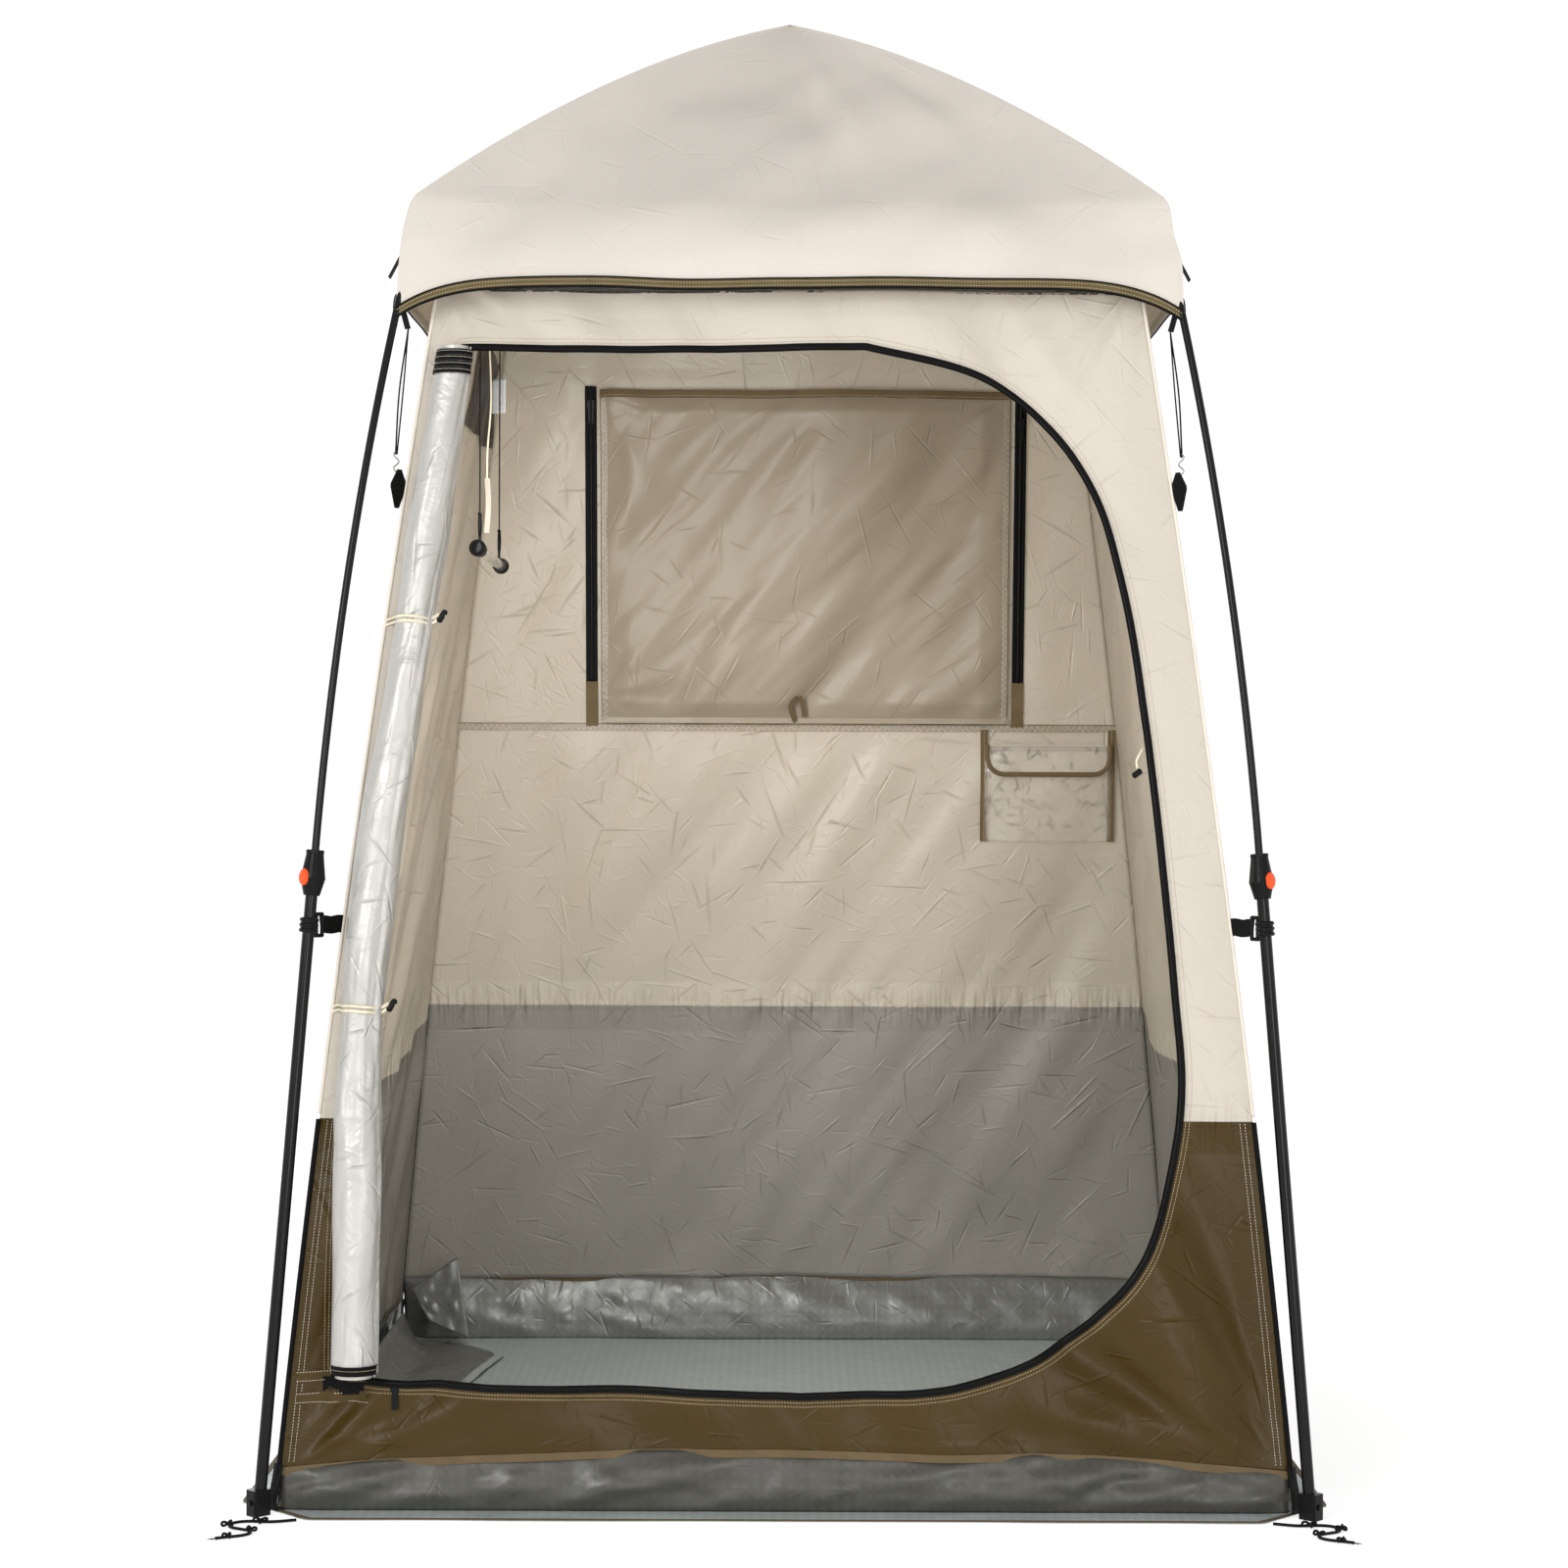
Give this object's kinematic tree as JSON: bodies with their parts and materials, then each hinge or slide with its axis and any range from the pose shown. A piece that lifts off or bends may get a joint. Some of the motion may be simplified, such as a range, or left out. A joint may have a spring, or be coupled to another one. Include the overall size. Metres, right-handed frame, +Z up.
{
  "type": "privacy shower tent",
  "caption": "Tall folding privacy shower tent with four telescoping bowed legs, arched roof ribs, fabric cabin with a door and window, hanging rail and separate ground sheet.",
  "frame": {"origin": "centre of the ground sheet's underside, on the ground", "axes": "+Z up, the door faces -Y, +X to the right of someone facing the door"},
  "size_m": [1.53, 1.6429, 2.2437],
  "materials": {
    "outer_fabric": "coated polyester, fine weave",
    "roof_fabric": "coated polyester, fine weave",
    "silver_fabric": "silver coated",
    "flap_fabric": "coated polyester",
    "ground_fabric": "woven polyethylene",
    "black_webbing": "woven webbing",
    "cord": "braided",
    "black_tube": "gloss enamel",
    "black_rod": "glass fibre rod",
    "black_plastic": "satin moulded",
    "orange_plastic": "satin moulded",
    "steel": "zinc plated",
    "clear_vinyl": "clear soft vinyl",
    "white_tube": "translucent"
  },
  "bodies": {
    "groundsheet": {"ground_sheet": "ground_fabric", "stake_cord_fl": "cord", "stake_cord_fr": "cord"},
    "hub": {"hub_block": "black_plastic", "hub_pins": "steel"},
    "rib_fl": {"rib_rod_fl": "black_rod", "rib_fittings_fl": "black_plastic", "canopy_front": "roof_fabric"},
    "leg_fl": {"upper_rod_fl": "black_rod", "knuckle_fl": "black_plastic", "corner_tie_fl": "black_webbing", "wall_front": "outer_fabric", "door_roll": "silver_fabric"},
    "lower_fl": {"lower_tube_fl": "black_tube", "connector_fl": "black_plastic", "foot_fl": "black_plastic"},
    "button_fl": {"button_fl": "orange_plastic"},
    "rib_fr": {"rib_rod_fr": "black_rod", "rib_fittings_fr": "black_plastic", "canopy_right": "roof_fabric"},
    "leg_fr": {"upper_rod_fr": "black_rod", "knuckle_fr": "black_plastic", "corner_tie_fr": "black_webbing", "wall_right": "outer_fabric"},
    "lower_fr": {"lower_tube_fr": "black_tube", "connector_fr": "black_plastic", "foot_fr": "black_plastic"},
    "button_fr": {"button_fr": "orange_plastic"},
    "rib_rr": {"rib_rod_rr": "black_rod", "rib_fittings_rr": "black_plastic", "canopy_rear": "roof_fabric"},
    "leg_rr": {"upper_rod_rr": "black_rod", "knuckle_rr": "black_plastic", "corner_tie_rr": "black_webbing", "wall_rear": "outer_fabric", "pocket": "clear_vinyl"},
    "lower_rr": {"lower_tube_rr": "black_tube", "connector_rr": "black_plastic", "foot_rr": "black_plastic"},
    "button_rr": {"button_rr": "orange_plastic"},
    "rib_rl": {"rib_rod_rl": "black_rod", "rib_fittings_rl": "black_plastic", "canopy_left": "roof_fabric"},
    "leg_rl": {"upper_rod_rl": "black_rod", "knuckle_rl": "black_plastic", "corner_tie_rl": "black_webbing", "wall_left": "outer_fabric"},
    "lower_rl": {"lower_tube_rl": "black_tube", "connector_rl": "black_plastic", "foot_rl": "black_plastic"},
    "button_rl": {"button_rl": "orange_plastic"},
    "rail": {"rail_tube": "white_tube", "rail_caps": "black_plastic", "rail_straps": "black_webbing"},
    "door_zip": {"door_slider": "black_plastic"},
    "window_zip_left": {"window_slider_left": "black_plastic"},
    "window_zip_right": {"window_slider_right": "black_plastic"},
    "window_cover": {"window_flap": "flap_fabric"},
    "pocket_lid": {"pocket_flap": "clear_vinyl"}
  },
  "joints": [
    {"name": "frame_fold", "type": "slide", "parent": "groundsheet", "child": "hub", "axis": [0, 0, -1], "range_m": [0, 1.1141], "deforming": ["canopy_front", "wall_front", "upper_rod_fl", "corner_tie_fl", "canopy_right", "wall_right", "upper_rod_fr", "corner_tie_fr", "canopy_rear", "wall_rear", "upper_rod_rr", "corner_tie_rr", "canopy_left", "wall_left", "upper_rod_rl", "corner_tie_rl", "door_roll", "pocket", "pocket_flap", "window_flap"]},
    {"name": "rib_hinge_fl", "type": "hinge", "parent": "hub", "child": "rib_fl", "pos_m": [-0.03535, -0.03535, 2.2], "axis": [-0.7071, 0.7071, 0], "range_deg": [0, 116.14]},
    {"name": "leg_hinge_fl", "type": "hinge", "parent": "rib_fl", "child": "leg_fl", "pos_m": [-0.52285, -0.52285, 1.83588], "axis": [-0.7071, 0.7071, 0], "range_deg": [-125.21, 0]},
    {"name": "leg_slide_fl", "type": "slide", "parent": "leg_fl", "child": "lower_fl", "axis": [0.0708, 0.0708, 0.995], "range_m": [0, 0.45]},
    {"name": "button_press_fl", "type": "slide", "parent": "lower_fl", "child": "button_fl", "axis": [0.7035, 0.7035, -0.1002], "range_m": [0, 0.003], "stiffness_N_per_m": 300, "springref_m": -0.001},
    {"name": "rib_hinge_fr", "type": "hinge", "parent": "hub", "child": "rib_fr", "pos_m": [0.03535, -0.03535, 2.2], "axis": [-0.7071, -0.7071, 0], "range_deg": [0, 116.14]},
    {"name": "leg_hinge_fr", "type": "hinge", "parent": "rib_fr", "child": "leg_fr", "pos_m": [0.52285, -0.52285, 1.83588], "axis": [-0.7071, -0.7071, 0], "range_deg": [-125.21, 0]},
    {"name": "leg_slide_fr", "type": "slide", "parent": "leg_fr", "child": "lower_fr", "axis": [-0.0708, 0.0708, 0.995], "range_m": [0, 0.45]},
    {"name": "button_press_fr", "type": "slide", "parent": "lower_fr", "child": "button_fr", "axis": [-0.7035, 0.7035, -0.1002], "range_m": [0, 0.003], "stiffness_N_per_m": 300, "springref_m": -0.001},
    {"name": "rib_hinge_rr", "type": "hinge", "parent": "hub", "child": "rib_rr", "pos_m": [0.03535, 0.03535, 2.2], "axis": [0.7071, -0.7071, 0], "range_deg": [0, 116.14]},
    {"name": "leg_hinge_rr", "type": "hinge", "parent": "rib_rr", "child": "leg_rr", "pos_m": [0.52285, 0.52285, 1.83588], "axis": [0.7071, -0.7071, 0], "range_deg": [-125.21, 0]},
    {"name": "leg_slide_rr", "type": "slide", "parent": "leg_rr", "child": "lower_rr", "axis": [-0.0708, -0.0708, 0.995], "range_m": [0, 0.45]},
    {"name": "button_press_rr", "type": "slide", "parent": "lower_rr", "child": "button_rr", "axis": [-0.7035, -0.7035, -0.1002], "range_m": [0, 0.003], "stiffness_N_per_m": 300, "springref_m": -0.001},
    {"name": "rib_hinge_rl", "type": "hinge", "parent": "hub", "child": "rib_rl", "pos_m": [-0.03535, 0.03535, 2.2], "axis": [0.7071, 0.7071, 0], "range_deg": [0, 116.14]},
    {"name": "leg_hinge_rl", "type": "hinge", "parent": "rib_rl", "child": "leg_rl", "pos_m": [-0.52285, 0.52285, 1.83588], "axis": [0.7071, 0.7071, 0], "range_deg": [-125.21, 0]},
    {"name": "leg_slide_rl", "type": "slide", "parent": "leg_rl", "child": "lower_rl", "axis": [0.0708, -0.0708, 0.995], "range_m": [0, 0.45]},
    {"name": "button_press_rl", "type": "slide", "parent": "lower_rl", "child": "button_rl", "axis": [0.7035, -0.7035, -0.1002], "range_m": [0, 0.003], "stiffness_N_per_m": 300, "springref_m": -0.001},
    {"name": "rail_swing", "type": "hinge", "parent": "leg_rl", "child": "rail", "pos_m": [-0.487, 0.05, 1.745], "axis": [0, 1, 0], "range_deg": [-25, 4]},
    {"name": "door_zip_slide", "type": "slide", "parent": "leg_fl", "child": "door_zip", "axis": [0.9996, 0, -0.0276], "range_m": [0, 0.5]},
    {"name": "window_zip_slide_left", "type": "slide", "parent": "leg_rr", "child": "window_zip_left", "axis": [0, 0.1315, -0.9913], "range_m": [0, 0.484]},
    {"name": "window_zip_slide_right", "type": "slide", "parent": "leg_rr", "child": "window_zip_right", "axis": [0, 0.131, -0.9914], "range_m": [0, 0.454]},
    {"name": "window_flap_hinge", "type": "hinge", "parent": "leg_rr", "child": "window_cover", "pos_m": [0.031, 0.58696, 1.126], "axis": [1, 0, 0], "range_deg": [0, 95]},
    {"name": "pocket_flap_hinge", "type": "hinge", "parent": "leg_rr", "child": "pocket_lid", "pos_m": [0.47, 0.57292, 1.09455], "axis": [1, 0, 0], "range_deg": [-100, 0]}
  ],
  "couplings": [
    {"joint": "rib_hinge_fl", "follows": "frame_fold", "rad_per_m": 1.8147},
    {"joint": "leg_hinge_fl", "follows": "frame_fold", "rad_per_m": -1.9568},
    {"joint": "rib_hinge_fr", "follows": "frame_fold", "rad_per_m": 1.8147},
    {"joint": "leg_hinge_fr", "follows": "frame_fold", "rad_per_m": -1.9568},
    {"joint": "rib_hinge_rr", "follows": "frame_fold", "rad_per_m": 1.8147},
    {"joint": "leg_hinge_rr", "follows": "frame_fold", "rad_per_m": -1.9568},
    {"joint": "rib_hinge_rl", "follows": "frame_fold", "rad_per_m": 1.8147},
    {"joint": "leg_hinge_rl", "follows": "frame_fold", "rad_per_m": -1.9568}
  ]
}
